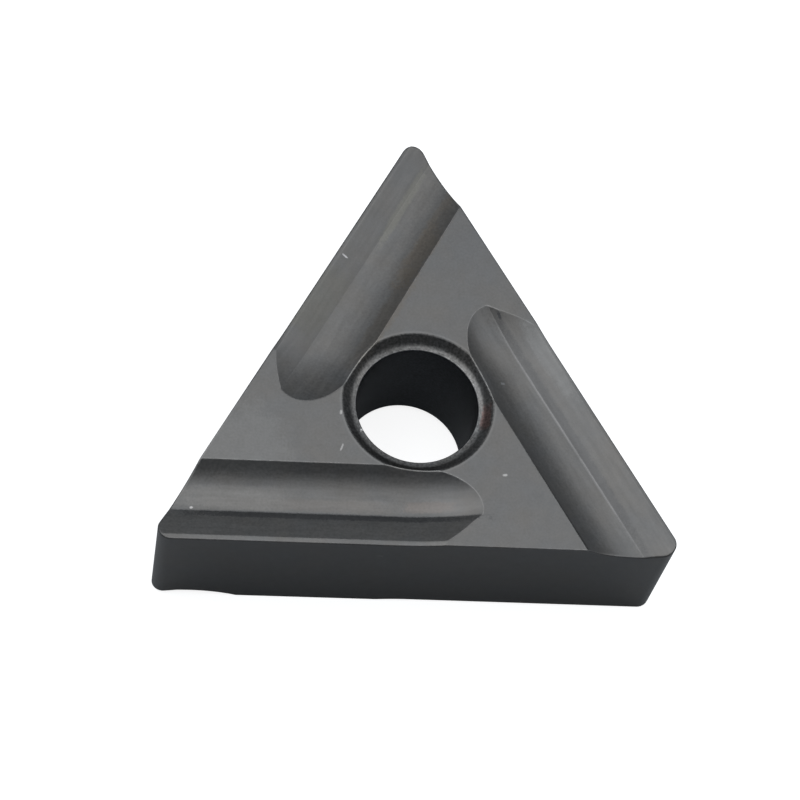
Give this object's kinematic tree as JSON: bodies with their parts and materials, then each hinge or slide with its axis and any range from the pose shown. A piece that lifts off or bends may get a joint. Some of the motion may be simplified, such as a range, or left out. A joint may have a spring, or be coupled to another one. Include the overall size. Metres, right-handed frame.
{
  "type": "indexable turning insert",
  "caption": "Triangular carbide turning insert with upright sides, a central clamping hole and chip grooves on both faces.",
  "frame": {"origin": "on the axis of the hole, halfway between the two faces", "axes": "+Z along the hole's axis out of the upper face, +Y from the axis to one cutting nose, -Y square to the side opposite that nose"},
  "size_m": [0.016, 0.0139, 0.0048],
  "materials": {
    "carbide": "satin grey sintered carbide, ground"
  },
  "bodies": {
    "root": {"turning_insert": "carbide"}
  },
  "joints": []
}
